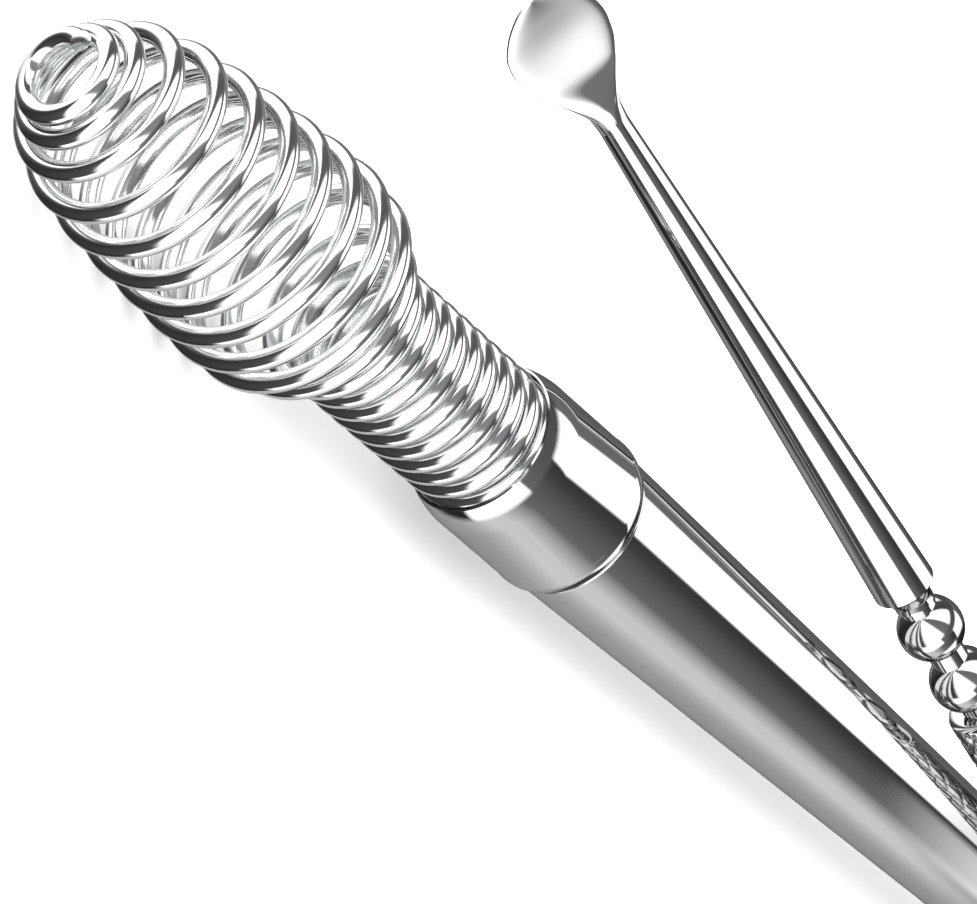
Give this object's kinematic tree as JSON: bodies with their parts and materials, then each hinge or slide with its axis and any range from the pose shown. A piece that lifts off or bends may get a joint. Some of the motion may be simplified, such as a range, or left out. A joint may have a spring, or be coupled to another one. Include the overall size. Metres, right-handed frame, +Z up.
{
  "type": "ear pick pair",
  "caption": "Pair of chromed ear picks, one with a flexible wire spring head and one with a small oval spoon, lying crossed.",
  "frame": {"origin": "middle of the underside of the pair's box, on the table", "axes": "+X along the picks from their working tips to their tails, +Z up from the table"},
  "size_m": [0.0972, 0.026, 0.0082],
  "materials": {
    "spring_wire": "bright drawn wire",
    "inner_steel": "plain turned steel",
    "bead_chrome": "mirror polish",
    "grip_chrome": "mirror polish",
    "spoon_chrome": "mirror polish",
    "ferrule_chrome": "mirror polish",
    "handle_chrome": "mirror polish"
  },
  "bodies": {
    "spring_handle": {"spring_neck_coil": "spring_wire", "spring_seat_coil": "spring_wire", "spring_ferrule": "ferrule_chrome", "spring_barrel": "handle_chrome", "spring_front_bead_1": "bead_chrome", "spring_front_bead_2": "bead_chrome", "spring_front_stud": "inner_steel", "spring_grip": "grip_chrome", "spring_rear_bead_1": "bead_chrome", "spring_rear_bead_2": "bead_chrome", "spring_rear_stud": "inner_steel", "spring_tail": "handle_chrome"},
    "spring_rear": {"spring_rear_coil": "spring_wire"},
    "spring_middle": {"spring_middle_coil": "spring_wire"},
    "spring_front": {"spring_front_coil": "spring_wire"},
    "spring_tip": {"spring_tip_coil": "spring_wire"},
    "spoon_pick": {"spoon_blade": "spoon_chrome", "spoon_rod": "handle_chrome", "spoon_front_bead_1": "bead_chrome", "spoon_front_bead_2": "bead_chrome", "spoon_front_stud": "inner_steel", "spoon_grip": "grip_chrome", "spoon_rear_bead_1": "bead_chrome", "spoon_rear_bead_2": "bead_chrome", "spoon_rear_stud": "inner_steel", "spoon_tail": "handle_chrome"}
  },
  "joints": [
    {"name": "neck_bend", "type": "hinge", "parent": "spring_handle", "child": "spring_rear", "pos_m": [-0.03733, 0.00363, 0.00303], "axis": [0, 1, 0], "range_deg": [-8, 8], "stiffness_Nm_per_rad": 0.01},
    {"name": "head_bend", "type": "hinge", "parent": "spring_rear", "child": "spring_middle", "pos_m": [-0.04016, 0.00363, 0.00308], "axis": [0.0189, 0, 0.9998], "range_deg": [-10, 10], "stiffness_Nm_per_rad": 0.01},
    {"name": "head_squeeze", "type": "slide", "parent": "spring_middle", "child": "spring_front", "axis": [0.9998, 0, -0.0189], "range_m": [0, 0.0005], "stiffness_N_per_m": 400},
    {"name": "tip_squeeze", "type": "slide", "parent": "spring_front", "child": "spring_tip", "axis": [0.9998, 0, -0.0189], "range_m": [0, 0.00035]},
    {"name": "spoon_lift", "type": "slide", "parent": "spring_handle", "child": "spoon_pick", "axis": [0, 0, 1], "range_m": [0, 0.03]}
  ],
  "couplings": [
    {"joint": "tip_squeeze", "follows": "head_squeeze", "ratio": 0.7}
  ]
}
